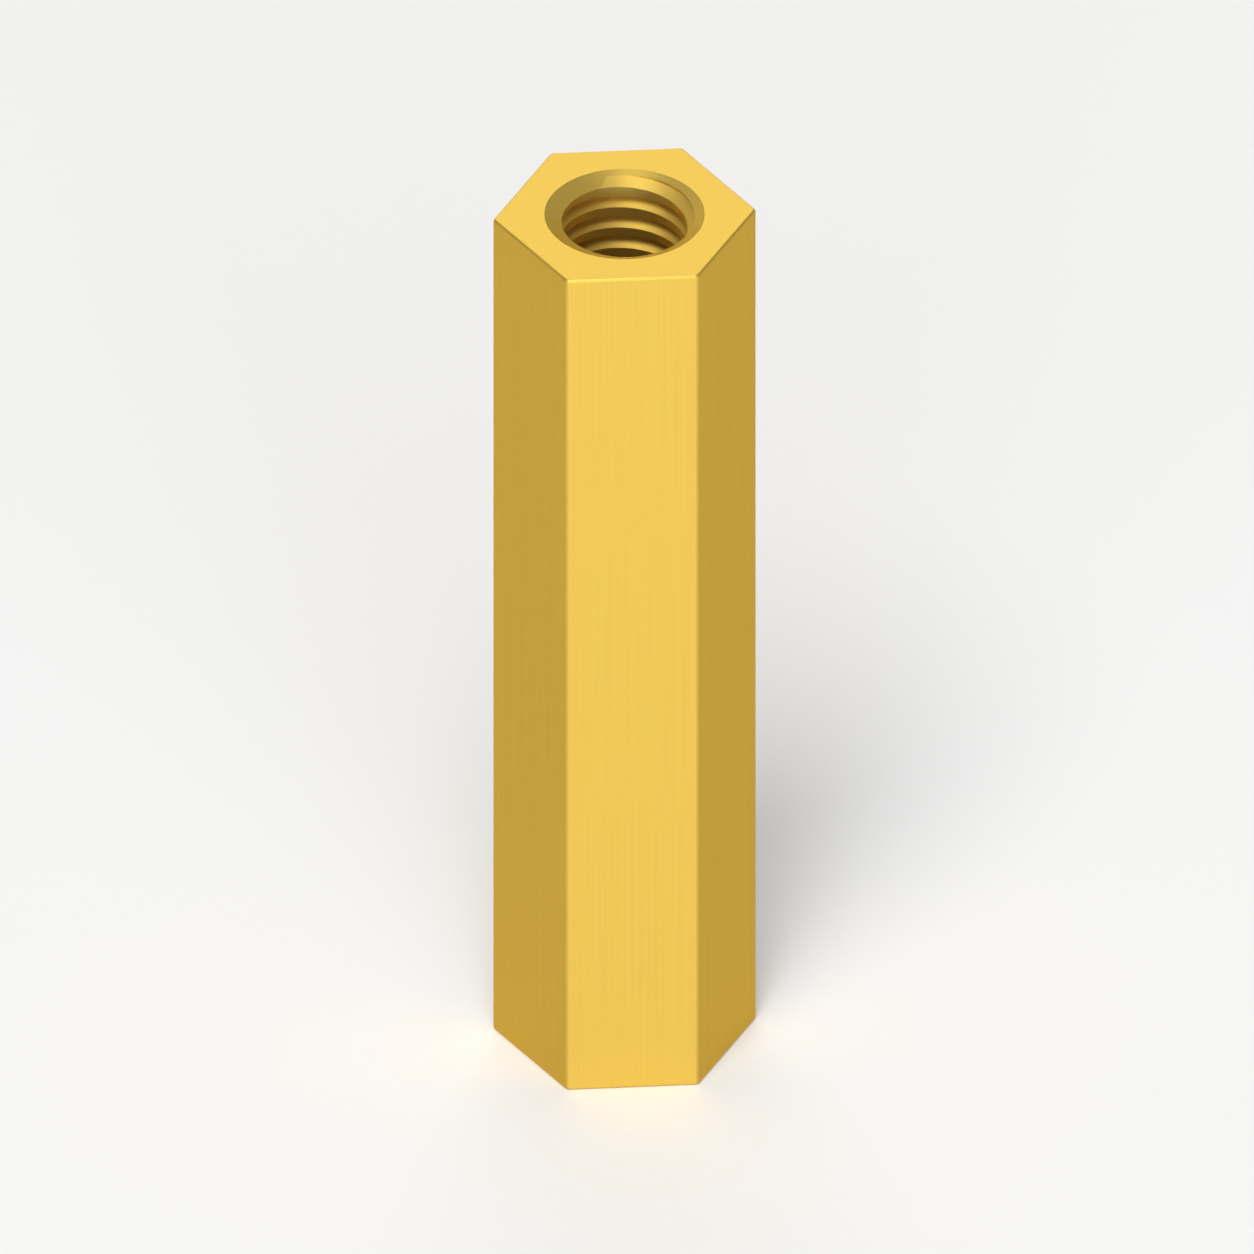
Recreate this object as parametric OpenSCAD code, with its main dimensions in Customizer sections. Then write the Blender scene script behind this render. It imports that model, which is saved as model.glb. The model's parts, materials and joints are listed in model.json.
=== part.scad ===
// Hexagonal standoff: a length of drawn brass bar, drilled through and tapped from both ends.
// The origin is the centre of the lower end face, and the bore runs along +Z. All sizes are in millimetres.

/* [Bar] */
// Width of the bar across its flats
across_flats = 7; // [5.5:0.5:12]
// Length from end face to end face
body_length = 30; // [24:1:80]
// Radius that the drawing die leaves on the six long corners
corner_radius = 0.15; // [0.05:0.05:0.5]
// Width of the deburred edge round each end face
edge_break = 0.1; // [0.05:0.05:0.3]

/* [Thread] */
// Nominal outside diameter of the thread
thread_diameter = 4.5; // [3:0.1:5]
// Distance along the axis from one turn to the next
thread_pitch = 0.75; // [0.5:0.05:0.8]
// Height of thread that the drill leaves for the tap, in percent of three quarters of the sharp V
thread_engagement = 67; // [55:1:80]
// Depth of full thread below each end face
thread_depth = 10; // [4:0.5:13]
// Turns over which the lead of the tap fades the thread out
lead_turns = 2.5; // [1:0.5:4]
// Direction round the bore in which the thread starts, in degrees
thread_start = 233; // [0:1:359]

/* [Countersink] */
// Diameter of the countersink at the end face
countersink_diameter = 4.9; // [4.2:0.1:6]
// Included angle of the countersink
countersink_angle = 125; // [82:1:140]

/* [Hidden] */

sides = 6;
side_angle = 360 / sides;
corner_angle = side_angle / 2;
corner_centre = (across_flats / 2 - corner_radius) / cos(corner_angle);

// A metric thread has flanks 30 degrees off square to the axis and a root an eighth of the pitch wide
flank_slope = tan(30);
sharp_height = thread_pitch * cos(30);
root_width = thread_pitch / 8;
root_radius = thread_diameter / 2;
drill_radius = root_radius - thread_engagement / 100 * 0.75 * sharp_height;

// The cutter reaches a little into the drilled bore, and a pitch beyond the end face
cutter_radius = drill_radius - thread_pitch / 10;
cutter_first = -thread_pitch;
lead_length = lead_turns * thread_pitch;
steps_per_turn = 24;
step_count = ceil((thread_depth + lead_length - cutter_first) / thread_pitch * steps_per_turn);
shallowest_cut = thread_pitch / 25;

mouth_radius = countersink_diameter / 2;
mouth_depth = (mouth_radius - drill_radius) / tan(countersink_angle / 2);
overcut = 1;
round_steps = 96;

// Half the width of the thread groove at a radius
function groove_half_width(radius) = root_width / 2 + (root_radius - radius) * flank_slope;

// Depth of a step of the cutter below the end face
function step_depth(step) = cutter_first + step * thread_pitch / steps_per_turn;

// How far out the cutter reaches: to the root along the full thread, then less and less in the lead
function reach(depth) =
    let (
        cut = root_radius - drill_radius,
        faded = cut * (1 - (depth - thread_depth) / lead_length)
    )
    depth < thread_depth ? root_radius : drill_radius + max(faded, shallowest_cut);

// The groove's four corners at one step, the last of which stays inside the bore to end the cut
function groove_section(step) =
    let (
        depth = step_depth(step),
        angle = thread_start + 360 * depth / thread_pitch,
        last = step == step_count,
        outer = last ? (cutter_radius + drill_radius) / 2 : reach(depth),
        inner_half = groove_half_width(cutter_radius),
        outer_half = groove_half_width(outer)
    )
    [
        for (corner = [
            [cutter_radius, -inner_half],
            [outer, -outer_half],
            [outer, outer_half],
            [cutter_radius, inner_half]
        ])
        [corner.x * cos(angle), corner.x * sin(angle), depth + corner.y]
    ];

// The helix that the tap cuts, from below the end face at z = 0 up into the bar
module thread_cutter() {
    last_corner = 4 * step_count;
    polyhedron(
        points = [for (step = [0 : step_count]) each groove_section(step)],
        faces = concat(
            [[2, 1, 0], [3, 2, 0]],
            [
                for (step = [0 : step_count - 1], corner = [0 : 3])
                let (
                    here = 4 * step + corner,
                    next = 4 * step + (corner + 1) % 4
                )
                each [[next, here + 4, here], [next + 4, here + 4, next]]
            ],
            [
                [last_corner, last_corner + 1, last_corner + 2],
                [last_corner, last_corner + 2, last_corner + 3]
            ]
        )
    );
}

// What is cut from one end: the countersink and the thread
module tapped_end() {
    cylinder(h = mouth_depth, r1 = mouth_radius, r2 = drill_radius, $fn = round_steps);
    thread_cutter();
}

// Section of the drawn bar: a hexagon with round corners
module bar_section() {
    polygon([
        for (side = [0 : sides - 1], turn = [-corner_angle, corner_angle])
        let (corner = side * side_angle)
        corner_centre * [cos(corner), sin(corner)]
            + corner_radius * [cos(corner + turn), sin(corner + turn)]
    ]);
    for (side = [0 : sides - 1])
        rotate(side * side_angle)
            translate([corner_centre, 0])
                circle(r = corner_radius, $fn = round_steps / 2);
}

// The edge between each flat and each end face is taken off at 45 degrees
module edge_breaks() {
    cut = edge_break * sqrt(2);
    for (end = [0, body_length], side = [0 : sides - 1])
        rotate(side * side_angle + corner_angle)
            translate([across_flats / 2, 0, end])
                rotate([0, 45, 0])
                    cube([cut, across_flats, cut], center = true);
}

module bar() {
    difference() {
        linear_extrude(body_length) bar_section();
        edge_breaks();
    }
}

module hex_standoff() {
    color("#f2cd5f")
    difference() {
        bar();
        translate([0, 0, -overcut])
            cylinder(h = body_length + 2 * overcut, r = drill_radius, $fn = round_steps);
        tapped_end();
        translate([0, 0, body_length])
            rotate([180, 0, 0])
                tapped_end();
    }
}

hex_standoff();
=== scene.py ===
"""A tapped hexagonal standoff in drawn brass, and a small studio to see it in."""

import json
import math

import bmesh
import bpy
from mathutils import Matrix, Vector


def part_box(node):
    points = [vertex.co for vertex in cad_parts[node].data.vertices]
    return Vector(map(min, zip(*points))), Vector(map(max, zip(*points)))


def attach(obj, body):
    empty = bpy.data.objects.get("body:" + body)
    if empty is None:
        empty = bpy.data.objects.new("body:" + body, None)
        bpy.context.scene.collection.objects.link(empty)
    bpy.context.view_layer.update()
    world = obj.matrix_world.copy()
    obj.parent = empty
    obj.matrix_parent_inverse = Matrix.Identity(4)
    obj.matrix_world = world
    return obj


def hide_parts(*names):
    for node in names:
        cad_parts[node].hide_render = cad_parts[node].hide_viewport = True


bl_info = {
    "name": "Hex standoff",
    "version": (1, 0, 0),
    "blender": (4, 5, 0),
    "location": "3D View > Sidebar > Standoff",
    "description": "Models a brass hexagon standoff with a thread in each end, and lights it on a pale floor",
    "category": "Add Mesh",
}

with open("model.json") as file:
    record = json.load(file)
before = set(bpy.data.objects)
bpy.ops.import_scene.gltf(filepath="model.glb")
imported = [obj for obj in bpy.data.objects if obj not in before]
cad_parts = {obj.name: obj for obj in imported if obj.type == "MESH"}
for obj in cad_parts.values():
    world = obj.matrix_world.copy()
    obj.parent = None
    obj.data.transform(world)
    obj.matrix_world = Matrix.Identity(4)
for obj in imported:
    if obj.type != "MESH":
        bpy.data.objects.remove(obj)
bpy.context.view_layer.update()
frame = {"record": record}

MM = 0.001
NODE = "hex_standoff"
BODY = "root"

NODE_LOW, NODE_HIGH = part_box(NODE)
MOUNTS = {mount["name"]: mount for mount in frame["record"]["mounts"]}

# The bar's section, and the flanks of a metric thread, which stand 30 degrees off square to the axis
SIDES = 6
CORNER_HALF_ANGLE = math.pi / SIDES
FLANK_SLOPE = math.tan(math.radians(30))

# Shares of the pitch: the width of the thread's root, and how far inside the bore its cutter starts
ROOT_SHARE = 1 / 8
OVERLAP_SHARE = 1 / 10

# How much of the way to the cutter's inner edge the fading thread's root is drawn in
FADE_SHARE = 0.98

# Facets in the round forms: a full turn of the bore and of the thread, a long corner and a broken edge
BORE_STEPS = 192
THREAD_STEPS = 96
CORNER_STEPS = 8
EDGE_STEPS = 4

# Points nearer than this are one point, and edges sharper than this stay sharp
MERGE_DISTANCE = MM / 10000
SHARP_ANGLE = math.radians(20)

# The order of the materials on the body and on each cutter, whose cut faces take their material along
DRAWN, TURNED, TAPPED = range(3)

# A surface's marks are spread between these two values, and are even beyond them
MARK_LOW = 0.3
MARK_HIGH = 0.7

# The photograph is taken as square, and shows this many pixels to the millimetre
PHOTO_PIXELS = 1254
PHOTO_PIXELS_PER_MM = 32.705

# The middle of the picture: its height up the standoff, and how far it lies to the right of the bore
PICTURE_HEIGHT = 14.70 * MM
PICTURE_SIDE = 0.076 * MM

# The floor, and how far from the standoff the camera and the lamps stand
FLOOR_RADIUS = 1.5
FLOOR_STEPS = 96
STUDIO_DISTANCE = 1.2

# How brightly the room glows above the floor, and below it, where it is as bright as the floor looks
ROOM_GLOW = 0.24
GROUND_GLOW = 1.03


def linear(hex_colour):
    """An sRGB colour such as C0A060 as linear red, green and blue."""
    channels = [int(hex_colour[i : i + 2], 16) / 255 for i in (0, 2, 4)]
    return [c / 12.92 if c <= 0.04045 else ((c + 0.055) / 1.055) ** 2.4 for c in channels]


def length_property(name, description, default):
    return bpy.props.FloatProperty(
        name=name, description=description, default=default, min=0, subtype="DISTANCE", unit="LENGTH"
    )


def angle_property(name, description, degrees):
    return bpy.props.FloatProperty(
        name=name, description=description, default=math.radians(degrees), subtype="ANGLE", unit="ROTATION"
    )


def colour_property(name, description, hex_colour):
    return bpy.props.FloatVectorProperty(
        name=name, description=description, default=linear(hex_colour), min=0, max=1, subtype="COLOR"
    )


class StandoffSizes(bpy.types.PropertyGroup):
    """Sizes of the standoff, as the model in the frame has them."""

    across_flats: length_property(
        "Across flats", "Width of the bar across its flats", NODE_HIGH[1] - NODE_LOW[1]
    )
    body_length: length_property("Length", "Length from end face to end face", NODE_HIGH[2] - NODE_LOW[2])
    corner_radius: length_property("Corner radius", "Radius of the six long corners", 0.15 * MM)
    edge_break: length_property("Edge break", "Width of the deburred edge round each end face", 0.1 * MM)
    thread_diameter: length_property("Thread diameter", "Outside diameter of the thread", 4.5 * MM)
    thread_pitch: length_property("Pitch", "Distance from one turn to the next", 0.75 * MM)
    drill_radius: length_property(
        "Drill radius", "Radius of the bore", MOUNTS["top_thread"]["dims"]["r_mm"] * MM
    )
    thread_depth: length_property("Thread depth", "Depth of full thread below each end face", 10 * MM)
    lead_length: length_property("Tap lead", "Length over which the thread fades out", 1.875 * MM)
    thread_start: angle_property("Thread start", "Direction round the bore in which the thread starts", 233)
    mouth_diameter: length_property("Countersink", "Diameter of the countersink at the end face", 4.9 * MM)
    mouth_angle: angle_property("Countersink angle", "Included angle of the countersink", 125)


class BrassFinish(bpy.types.PropertyGroup):
    """Colours of the brass and the sizes of its working marks."""

    skin: colour_property("Drawn skin", "Colour of the drawn flats", "CEAB4A")
    fresh: colour_property("Fresh brass", "Colour of brass where a tool has cut it, a little paler", "E2C25F")
    edge_tint: colour_property("Edge tint", "Colour that the brass takes on seen edge on", "FFE9B0")
    line_width: length_property("Line width", "Width of a line that the drawing die leaves", 0.07 * MM)
    line_length: length_property("Line length", "Length of such a line along the flats", 10.5 * MM)
    turning_feed: length_property("Turning feed", "Spacing of the rings that the lathe leaves", 0.12 * MM)
    chatter_width: length_property("Chatter width", "Width of a mark of the tap up the bore", 0.035 * MM)
    chatter_length: length_property("Chatter length", "Length of such a mark round the bore", 0.28 * MM)


class StudioSettings(bpy.types.PropertyGroup):
    """The floor, the lamps and the view."""

    floor: colour_property("Floor", "Colour of the floor", "F1F1F2")
    warm: colour_property("Warm light", "Colour of the room and of the far lamps", "FFFBF2")
    cool: colour_property("Cool light", "Colour of the two panels in front", "D6E6FF")
    azimuth: angle_property("Azimuth", "Direction of the view round the object", -3.98)
    elevation: angle_property("Elevation", "Height of the view above the floor", 34.37)


def looks_along_bore(face):
    """Whether a face is nearer to square to the bore than to parallel with it."""
    return abs(face.normal.z) > math.sin(math.radians(45))


def round_edges(mesh, edges, width, steps):
    bmesh.ops.bevel(
        mesh,
        geom=edges,
        offset=width,
        offset_type="OFFSET",
        segments=steps,
        profile=0.5,
        affect="EDGES",
        material=-1,
    )


def drawn_bar(sizes):
    """Hexagon bar with a corner on +X, round long corners and broken end edges."""
    bar = bmesh.new()
    corner_distance = sizes.across_flats / 2 / math.cos(CORNER_HALF_ANGLE)
    turn = Matrix.Rotation(CORNER_HALF_ANGLE, 4, "Z")
    bmesh.ops.create_circle(bar, cap_ends=True, segments=SIDES, radius=corner_distance, matrix=turn)
    raised = bmesh.ops.extrude_face_region(bar, geom=bar.faces[:])["geom"]
    top_corners = [item for item in raised if isinstance(item, bmesh.types.BMVert)]
    bmesh.ops.translate(bar, verts=top_corners, vec=(0, 0, sizes.body_length))
    bmesh.ops.recalc_face_normals(bar, faces=bar.faces)

    def rise(edge):
        return abs(edge.verts[0].co.z - edge.verts[1].co.z)

    for face in bar.faces:
        face.material_index = TURNED if looks_along_bore(face) else DRAWN
    half = sizes.body_length / 2
    tangent = sizes.corner_radius * math.tan(CORNER_HALF_ANGLE)
    round_edges(bar, [edge for edge in bar.edges if rise(edge) > half], tangent, CORNER_STEPS)
    round_edges(bar, [edge for edge in bar.edges if rise(edge) < half], sizes.edge_break, EDGE_STEPS)
    return bar


def bore_cutter(sizes):
    """The drill and both countersinks in one turned form, which runs a little past each end face."""
    cutter = bmesh.new()
    mouth = sizes.mouth_diameter / 2
    slope = math.tan(sizes.mouth_angle / 2)
    mouth_depth = (mouth - sizes.drill_radius) / slope
    past = mouth_depth
    wide = mouth + past * slope
    far = sizes.body_length
    profile = [
        (0, -past),
        (wide, -past),
        (sizes.drill_radius, mouth_depth),
        (sizes.drill_radius, far - mouth_depth),
        (wide, far + past),
        (0, far + past),
    ]
    points = [cutter.verts.new((radius, 0, height)) for radius, height in profile]
    edges = [cutter.edges.new(pair) for pair in zip(points, points[1:])]
    bmesh.ops.spin(
        cutter,
        geom=points + edges,
        cent=(0, 0, 0),
        axis=(0, 0, 1),
        angle=2 * math.pi,
        steps=BORE_STEPS,
        use_merge=True,
    )
    bmesh.ops.remove_doubles(cutter, verts=cutter.verts, dist=MERGE_DISTANCE)
    bmesh.ops.recalc_face_normals(cutter, faces=cutter.faces)
    for face in cutter.faces:
        face.material_index = TURNED if looks_along_bore(face) else TAPPED
    return cutter


def thread_cutter(sizes):
    """The helix that the tap cuts up from the lower end face, and that fades out along the tap's lead."""
    pitch = sizes.thread_pitch
    root = sizes.thread_diameter / 2
    inner = sizes.drill_radius - pitch * OVERLAP_SHARE

    def half_width(radius):
        return pitch * ROOT_SHARE / 2 + (root - radius) * FLANK_SLOPE

    cutter = bmesh.new()
    outline = [
        (inner, -half_width(inner)),
        (root, -half_width(root)),
        (root, half_width(root)),
        (inner, half_width(inner)),
    ]
    section = cutter.faces.new([cutter.verts.new((radius, 0, height)) for radius, height in outline])
    full = sizes.thread_depth + sizes.lead_length
    steps = math.ceil((full + pitch) / pitch * THREAD_STEPS)
    bmesh.ops.spin(
        cutter,
        geom=[section],
        cent=(0, 0, 0),
        axis=(0, 0, 1),
        angle=2 * math.pi * steps / THREAD_STEPS,
        steps=steps,
        dvec=(0, 0, pitch / THREAD_STEPS),
    )
    start = Matrix.Rotation(sizes.thread_start, 3, "Z")
    bmesh.ops.rotate(cutter, verts=cutter.verts, cent=(0, 0, 0), matrix=start)
    bmesh.ops.translate(cutter, verts=cutter.verts, vec=(0, 0, -pitch))
    fade_out(cutter, sizes, inner)
    bmesh.ops.recalc_face_normals(cutter, faces=cutter.faces)
    for face in cutter.faces:
        face.material_index = TAPPED
    return cutter


def fade_out(cutter, sizes, inner):
    """Draws the groove's root in to the bore along the tap's lead, and keeps the flanks where they are."""
    root = sizes.thread_diameter / 2
    for vert in cutter.verts:
        radius = math.hypot(vert.co.x, vert.co.y)
        past = vert.co.z - sizes.thread_depth
        if radius < (root + inner) / 2 or past < 0:
            continue
        drawn_in = min(past / sizes.lead_length, 1) * (root - inner) * FADE_SHARE
        scale = (root - drawn_in) / radius
        vert.co.x *= scale
        vert.co.y *= scale


def turned_over(source, sizes):
    """A copy of a lower end's cutter, turned over to cut the upper end."""
    copy = source.copy()
    over = Matrix.Translation((0, 0, sizes.body_length)) @ Matrix.Rotation(math.pi, 4, "X")
    bmesh.ops.transform(copy, matrix=over, verts=copy.verts)
    return copy


def new_object(name, source, materials):
    """A mesh object at the origin made from a bmesh, which is freed."""
    mesh = bpy.data.meshes.new(name)
    source.to_mesh(mesh)
    source.free()
    for material in materials:
        mesh.materials.append(material)
    made = bpy.data.objects.new(name, mesh)
    bpy.context.scene.collection.objects.link(made)
    return made


def cut(piece, cutters):
    """Cuts each cutter out of the piece for good, and removes the cutters."""
    for cutter in cutters:
        modifier = piece.modifiers.new(cutter.name, "BOOLEAN")
        modifier.operation = "DIFFERENCE"
        modifier.solver = "MANIFOLD"
        modifier.material_mode = "INDEX"
        modifier.object = cutter
    settle(piece)
    for cutter in cutters:
        bpy.data.objects.remove(cutter)


def settle(piece):
    """Makes the piece's modifiers part of its mesh."""
    result = piece.evaluated_get(bpy.context.evaluated_depsgraph_get())
    mesh = bpy.data.meshes.new_from_object(result)
    piece.modifiers.clear()
    piece.data = mesh


def shade_round_forms(piece):
    """Shades the round forms smooth, and keeps the flat faces flat by weighting the normals by face size."""
    piece.data.shade_smooth()
    piece.data.set_sharp_from_angle(angle=SHARP_ANGLE)
    modifier = piece.modifiers.new("flat_faces", "WEIGHTED_NORMAL")
    modifier.mode = "FACE_AREA"
    modifier.keep_sharp = True
    settle(piece)


def check_closed(piece):
    """Raises an error if an edge of the piece doesn't lie between two faces."""
    shape = bmesh.new()
    shape.from_mesh(piece.data)
    loose = sum(not edge.is_manifold for edge in shape.edges)
    shape.free()
    if loose:
        raise RuntimeError(f"{piece.name} has {loose} edges that don't lie between two faces")


def add_node(tree, kind, values=None, links=None, **settings):
    """Adds a node with its settings, its sockets' values and the sockets that feed it."""
    node = tree.nodes.new(kind)
    for name, value in settings.items():
        setattr(node, name, value)
    for socket, value in (values or {}).items():
        node.inputs[socket].default_value = value
    for socket, source in (links or {}).items():
        tree.links.new(source, node.inputs[socket])
    return node


def new_material(name):
    material = bpy.data.materials.new(name)
    material.use_nodes = True
    material.node_tree.nodes.clear()
    return material, material.node_tree


def brass_surface(tree, finish, tint, marks, roughness, depth):
    """Brass whose marks, a value from 0 to 1, vary its roughness and stand as high as the depth."""
    least, most = roughness
    spread = add_node(
        tree,
        "ShaderNodeMapRange",
        {"From Min": MARK_LOW, "From Max": MARK_HIGH, "To Min": least, "To Max": most},
        {"Value": marks},
    )
    relief = add_node(tree, "ShaderNodeBump", {"Strength": 1, "Distance": depth}, {"Height": marks})
    shader = add_node(
        tree,
        "ShaderNodeBsdfPrincipled",
        {"Base Color": (*tint, 1), "Specular Tint": (*finish.edge_tint, 1), "Metallic": 1},
        {"Roughness": spread.outputs["Result"], "Normal": relief.outputs["Normal"]},
    )
    add_node(tree, "ShaderNodeOutputMaterial", None, {"Surface": shader.outputs["BSDF"]})


def drawn_brass(finish):
    """Yellow brass pulled through a die: a satin face with faint lines along the bar.

    The lines are wider than a die leaves them, so that they show.
    """
    material, tree = new_material("drawn_brass")
    place = add_node(tree, "ShaderNodeTexCoord")
    across = 1 / finish.line_width
    lines = add_node(
        tree,
        "ShaderNodeMapping",
        {"Scale": (across, across, 1 / finish.line_length)},
        {"Vector": place.outputs["Object"]},
    )
    streaks = add_node(
        tree,
        "ShaderNodeTexNoise",
        {"Scale": 1, "Detail": 3, "Roughness": 0.6},
        {"Vector": lines.outputs["Vector"]},
    )
    brass_surface(tree, finish, finish.skin, streaks.outputs["Fac"], roughness=(0.6, 0.7), depth=0.001 * MM)
    return material


def turned_brass(finish):
    """The same brass faced on a lathe: a smoother face with faint rings at the spacing of the feed."""
    material, tree = new_material("turned_brass")
    place = add_node(tree, "ShaderNodeTexCoord")
    # At a scale of 1, the rings of the wave texture are pi / 10 apart
    rings = add_node(
        tree,
        "ShaderNodeTexWave",
        {"Scale": math.pi / 10 / finish.turning_feed, "Distortion": 0},
        {"Vector": place.outputs["Object"]},
        wave_type="RINGS",
        rings_direction="Z",
    )
    brass_surface(
        tree, finish, finish.fresh, rings.outputs["Fac"], roughness=(0.42, 0.46), depth=0.0002 * MM
    )
    return material


def tapped_brass(finish):
    """The same brass cut by a drill and a tap: a dull face with a little chatter round the bore."""
    material, tree = new_material("tapped_brass")
    place = add_node(tree, "ShaderNodeTexCoord")
    around = 1 / finish.chatter_length
    chatter = add_node(
        tree,
        "ShaderNodeMapping",
        {"Scale": (around, around, 1 / finish.chatter_width)},
        {"Vector": place.outputs["Object"]},
    )
    marks = add_node(
        tree,
        "ShaderNodeTexNoise",
        {"Scale": 1, "Detail": 2, "Roughness": 0.5},
        {"Vector": chatter.outputs["Vector"]},
    )
    brass_surface(
        tree, finish, finish.fresh, marks.outputs["Fac"], roughness=(0.48, 0.56), depth=0.0004 * MM
    )
    return material


class STANDOFF_OT_body(bpy.types.Operator):
    """Model the standoff: the bar, its bore, its countersinks and the thread in each end"""

    bl_idname = "standoff.body"
    bl_label = "Hex standoff"

    def execute(self, context):
        sizes = context.scene.standoff_sizes
        finish = context.scene.brass_finish
        materials = [drawn_brass(finish), turned_brass(finish), tapped_brass(finish)]
        piece = new_object("standoff_body", drawn_bar(sizes), materials)
        lower = thread_cutter(sizes)
        upper = turned_over(lower, sizes)
        cutters = [
            new_object("bore", bore_cutter(sizes), materials),
            new_object("lower_thread", lower, materials),
            new_object("upper_thread", upper, materials),
        ]
        cut(piece, cutters)
        check_closed(piece)
        shade_round_forms(piece)
        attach(piece, BODY)
        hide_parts(NODE)
        return {"FINISHED"}


def matt_paint(tint):
    """Flat emulsion, rolled on: an even face without a shine."""
    paint, tree = new_material("matt_paint")
    shader = add_node(tree, "ShaderNodeBsdfPrincipled", {"Base Color": (*tint, 1), "Roughness": 0.9})
    add_node(tree, "ShaderNodeOutputMaterial", None, {"Surface": shader.outputs["BSDF"]})
    return paint


def lay_floor(studio):
    disc = bmesh.new()
    bmesh.ops.create_circle(disc, cap_ends=True, segments=FLOOR_STEPS, radius=FLOOR_RADIUS)
    floor = new_object("floor", disc, [matt_paint(studio.floor)])


def light_room(scene, studio):
    """A room that glows faintly, over a ground as bright as the floor for a low view that looks under it."""
    world = bpy.data.worlds.new("studio")
    world.use_nodes = True
    tree = world.node_tree
    tree.nodes.clear()
    room = add_node(tree, "ShaderNodeBackground", {"Color": (*studio.warm, 1), "Strength": ROOM_GLOW})
    ground = add_node(tree, "ShaderNodeBackground", {"Color": (*studio.floor, 1), "Strength": GROUND_GLOW})
    direction = add_node(tree, "ShaderNodeTexCoord")
    height = add_node(tree, "ShaderNodeSeparateXYZ", None, {"Vector": direction.outputs["Generated"]})
    above = add_node(tree, "ShaderNodeMath", {1: 0}, {0: height.outputs["Z"]}, operation="GREATER_THAN")
    both = add_node(
        tree,
        "ShaderNodeMixShader",
        None,
        {0: above.outputs["Value"], 1: ground.outputs["Background"], 2: room.outputs["Background"]},
    )
    add_node(tree, "ShaderNodeOutputWorld", None, {"Surface": both.outputs["Shader"]})
    scene.world = world


def outward(azimuth, elevation):
    """The direction from the standoff at an azimuth, 0 in front and 90 degrees on the right, and a height."""
    level = math.cos(elevation)
    return Vector((math.sin(azimuth) * level, -math.cos(azimuth) * level, math.sin(elevation)))


def hang_lamp(name, lamp, azimuth, elevation):
    """Hangs a lamp that the camera doesn't see, in a direction given in degrees, facing the standoff."""
    direction = outward(math.radians(azimuth), math.radians(elevation))
    made = bpy.data.objects.new(name, lamp)
    made.location = direction * STUDIO_DISTANCE
    made.rotation_euler = direction.to_track_quat("Z", "Y").to_euler()
    made.visible_camera = False
    bpy.context.scene.collection.objects.link(made)


def far_lamp(name, azimuth, elevation, width, tint, energy):
    """A round lamp of a width in degrees, so far off that it lights all of the floor alike."""
    lamp = bpy.data.lights.new(name, "SUN")
    lamp.angle = math.radians(width)
    lamp.color = tint
    lamp.energy = energy
    hang_lamp(name, lamp, azimuth, elevation)


def panel_lamp(name, azimuth, elevation, size, tint, energy):
    """A glowing rectangle."""
    lamp = bpy.data.lights.new(name, "AREA")
    lamp.shape = "RECTANGLE"
    lamp.size, lamp.size_y = size
    lamp.color = tint
    lamp.energy = energy
    hang_lamp(name, lamp, azimuth, elevation)


def hang_lamps(studio):
    """A lamp for the thread, one behind for the top face, two panels for the front flat, and faint fills."""
    warm = studio.warm
    far_lamp("high_front", azimuth=-20, elevation=61, width=26, tint=warm, energy=1.6)
    far_lamp("left", azimuth=-125, elevation=35, width=50, tint=warm, energy=0.08)
    far_lamp("right", azimuth=110, elevation=35, width=60, tint=warm, energy=0.12)
    far_lamp("back", azimuth=180, elevation=35.5, width=50, tint=warm, energy=0.73)
    cool = studio.cool
    panel_lamp("low_front", azimuth=-2, elevation=7.2, size=(0.86, 0.30), tint=cool, energy=14.8)
    panel_lamp("tall_front", azimuth=-2, elevation=22, size=(1.5, 0.9), tint=cool, energy=8)


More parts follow.
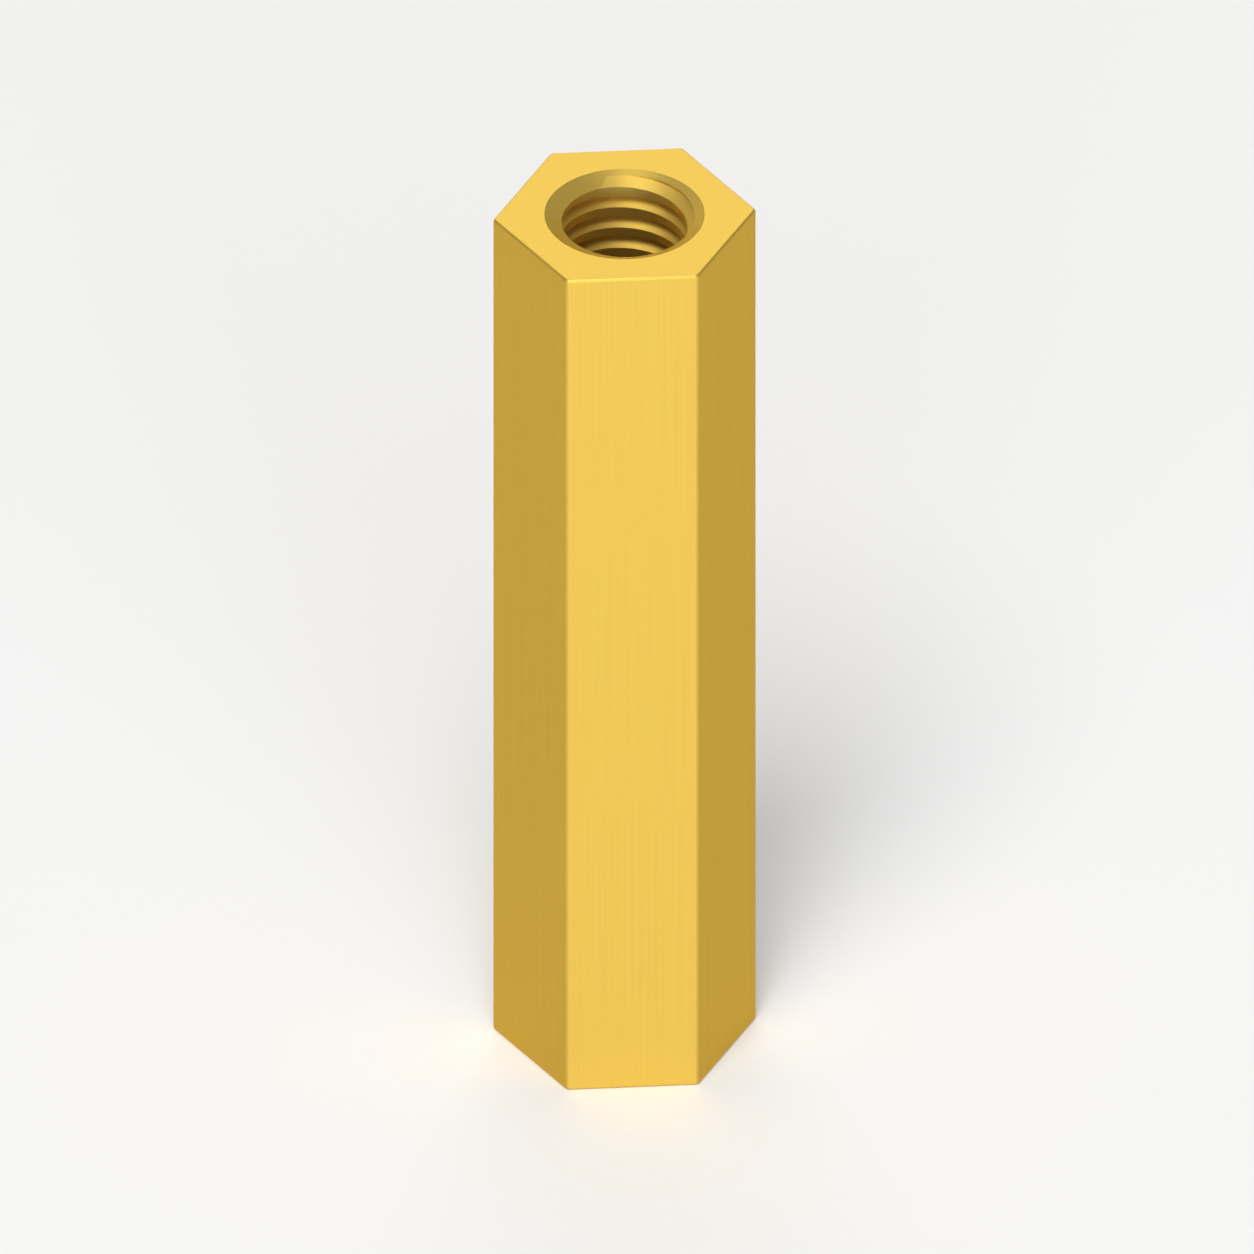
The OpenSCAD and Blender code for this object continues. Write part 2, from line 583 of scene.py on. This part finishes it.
def set_camera(scene, studio):
    """A parallel view from the photograph's angle, in which upright edges stay upright."""
    view = bpy.data.cameras.new("camera")
    view.type = "ORTHO"
    view.ortho_scale = PHOTO_PIXELS / PHOTO_PIXELS_PER_MM * MM
    camera = bpy.data.objects.new("camera", view)
    back = outward(studio.azimuth, studio.elevation)
    side = Vector((math.cos(studio.azimuth), math.sin(studio.azimuth), 0))
    target = Vector((0, 0, PICTURE_HEIGHT)) + side * PICTURE_SIDE
    camera.location = target + back * STUDIO_DISTANCE
    camera.rotation_euler = (-back).to_track_quat("-Z", "Y").to_euler()
    scene.collection.objects.link(camera)
    scene.camera = camera


class STANDOFF_OT_stage(bpy.types.Operator):
    """Lay the floor, hang the lamps and set the camera at the photograph's view"""

    bl_idname = "standoff.stage"
    bl_label = "Stage"

    def execute(self, context):
        scene = context.scene
        studio = scene.studio_settings
        lay_floor(studio)
        light_room(scene, studio)
        hang_lamps(studio)
        set_camera(scene, studio)
        scene.view_settings.view_transform = "Standard"
        return {"FINISHED"}


class STANDOFF_PT_panel(bpy.types.Panel):
    """Sizes, finish, studio and the two steps that build the scene"""

    bl_idname = "STANDOFF_PT_panel"
    bl_label = "Hex standoff"
    bl_space_type = "VIEW_3D"
    bl_region_type = "UI"
    bl_category = "Standoff"

    def draw(self, context):
        layout = self.layout
        scene = context.scene
        for group in (scene.standoff_sizes, scene.brass_finish, scene.studio_settings):
            box = layout.box()
            for name in group.__annotations__:
                box.prop(group, name)
        layout.operator(STANDOFF_OT_body.bl_idname)
        layout.operator(STANDOFF_OT_stage.bl_idname)


CLASSES = (
    StandoffSizes,
    BrassFinish,
    StudioSettings,
    STANDOFF_OT_body,
    STANDOFF_OT_stage,
    STANDOFF_PT_panel,
)


def register():
    for item in CLASSES:
        bpy.utils.register_class(item)
    bpy.types.Scene.standoff_sizes = bpy.props.PointerProperty(type=StandoffSizes)
    bpy.types.Scene.brass_finish = bpy.props.PointerProperty(type=BrassFinish)
    bpy.types.Scene.studio_settings = bpy.props.PointerProperty(type=StudioSettings)


def unregister():
    del bpy.types.Scene.studio_settings
    del bpy.types.Scene.brass_finish
    del bpy.types.Scene.standoff_sizes
    for item in reversed(CLASSES):
        bpy.utils.unregister_class(item)


def main():
    register()
    bpy.ops.standoff.body()
    bpy.ops.standoff.stage()


if __name__ == "__main__":
    main()
